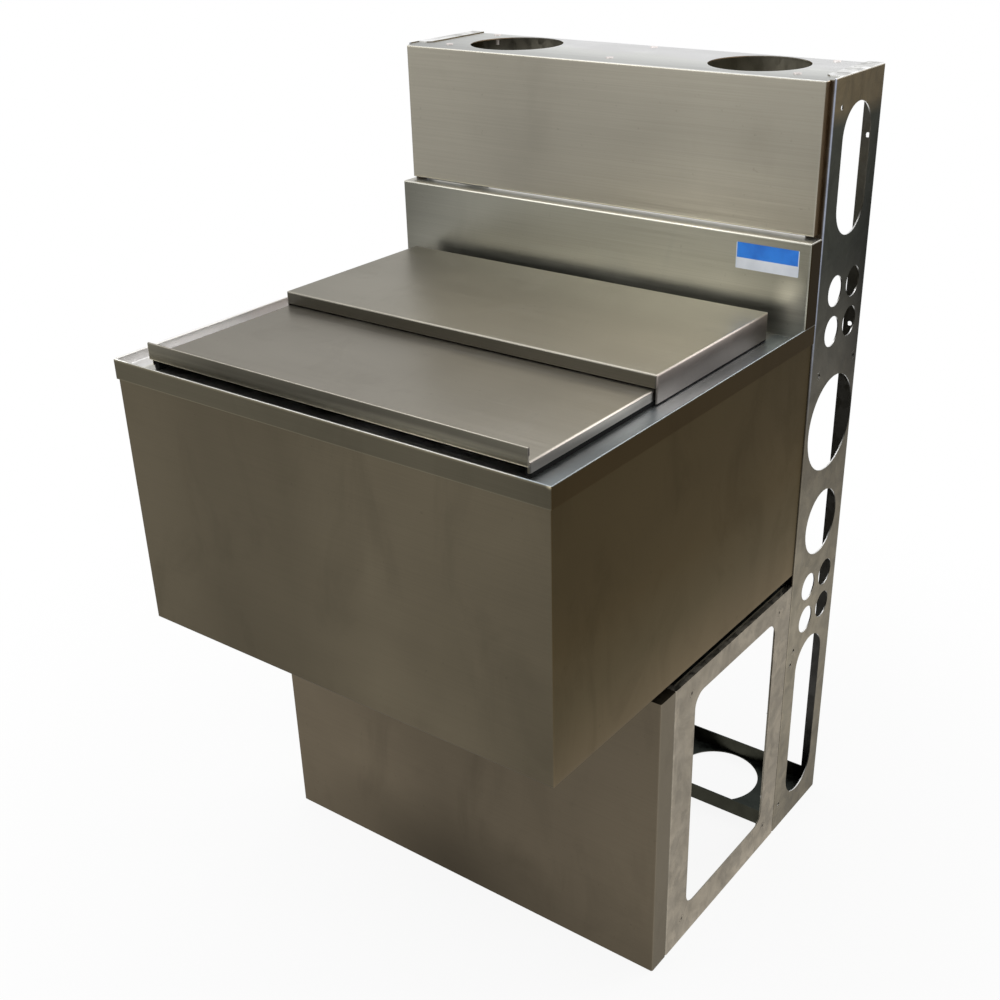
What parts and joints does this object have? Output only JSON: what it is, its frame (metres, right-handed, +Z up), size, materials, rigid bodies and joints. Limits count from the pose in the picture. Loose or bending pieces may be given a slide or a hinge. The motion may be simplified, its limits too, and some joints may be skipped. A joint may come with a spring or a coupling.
{
  "type": "underbar ice bin",
  "caption": "Insulated stainless ice bin with sliding and lift-off covers and a drain, hung on a perforated utility wall with a backsplash and a set-back base.",
  "frame": {"origin": "centre of the footprint's bounding box on the floor", "axes": "+Z up, +Y from the bin's front to the utility wall, +X to the right when facing the bin"},
  "size_m": [0.61, 0.677, 1.04],
  "materials": {
    "stainless_sheet": "brushed stainless, fine straight grain",
    "stainless_fitting": "turned stainless",
    "galvanised_sheet": "galvanised sheet with spangle and scuffs",
    "plated_fasteners": "zinc-plated, dull",
    "insulation": "rigid foam board",
    "tag": "blank two-tone tag",
    "gasket_rubber": "matt",
    "brass_fitting": "machined",
    "black_plastic": "matt low-friction strip"
  },
  "bodies": {
    "cabinet": {"bin_shell": "stainless_sheet", "bin_bottom_pan": "galvanised_sheet", "bin_back_panel": "galvanised_sheet", "insulation_boards": "insulation", "ice_liner": "stainless_sheet", "rim_frame": "stainless_sheet", "backsplash": "stainless_sheet", "blank_tag": "tag", "drain_cup": "stainless_fitting", "drain_gasket": "gasket_rubber", "drain_locknut": "brass_fitting", "drain_tailpiece": "brass_fitting", "upper_panel": "stainless_sheet", "wall_side_plate_right": "galvanised_sheet", "wall_side_plate_left": "galvanised_sheet", "wall_bottom_plate": "galvanised_sheet", "wall_rail_front": "galvanised_sheet", "wall_rail_middle": "galvanised_sheet", "wall_rail_rear": "galvanised_sheet", "top_screws": "plated_fasteners", "side_inserts": "plated_fasteners", "base_front_panel": "stainless_sheet", "base_side_plate_right": "galvanised_sheet", "base_side_plate_left": "galvanised_sheet", "base_rail_front": "galvanised_sheet", "base_rail_rear": "galvanised_sheet", "base_side_screws": "plated_fasteners", "base_panel_screws": "plated_fasteners", "floor_brackets": "galvanised_sheet", "bin_support_right": "galvanised_sheet", "bin_support_left": "galvanised_sheet", "bin_wall_bolts": "plated_fasteners", "bin_wall_nuts": "plated_fasteners", "base_wall_bolts": "plated_fasteners", "base_wall_nuts": "plated_fasteners"},
    "front_lid": {"front_cover": "stainless_sheet", "front_cover_glides": "black_plastic"},
    "rear_lid": {"rear_cover": "stainless_sheet", "rear_cover_glides": "black_plastic"},
    "strainer": {"drain_strainer": "stainless_fitting"}
  },
  "joints": [
    {"name": "front_cover_slide", "type": "slide", "parent": "cabinet", "child": "front_lid", "axis": [0, 1, 0], "range_m": [0, 0.2175]},
    {"name": "rear_cover_lift", "type": "slide", "parent": "cabinet", "child": "rear_lid", "axis": [0, 0, 1], "range_m": [0, 0.12]},
    {"name": "strainer_lift", "type": "slide", "parent": "cabinet", "child": "strainer", "axis": [0, 0, 1], "range_m": [0, 0.15]}
  ]
}
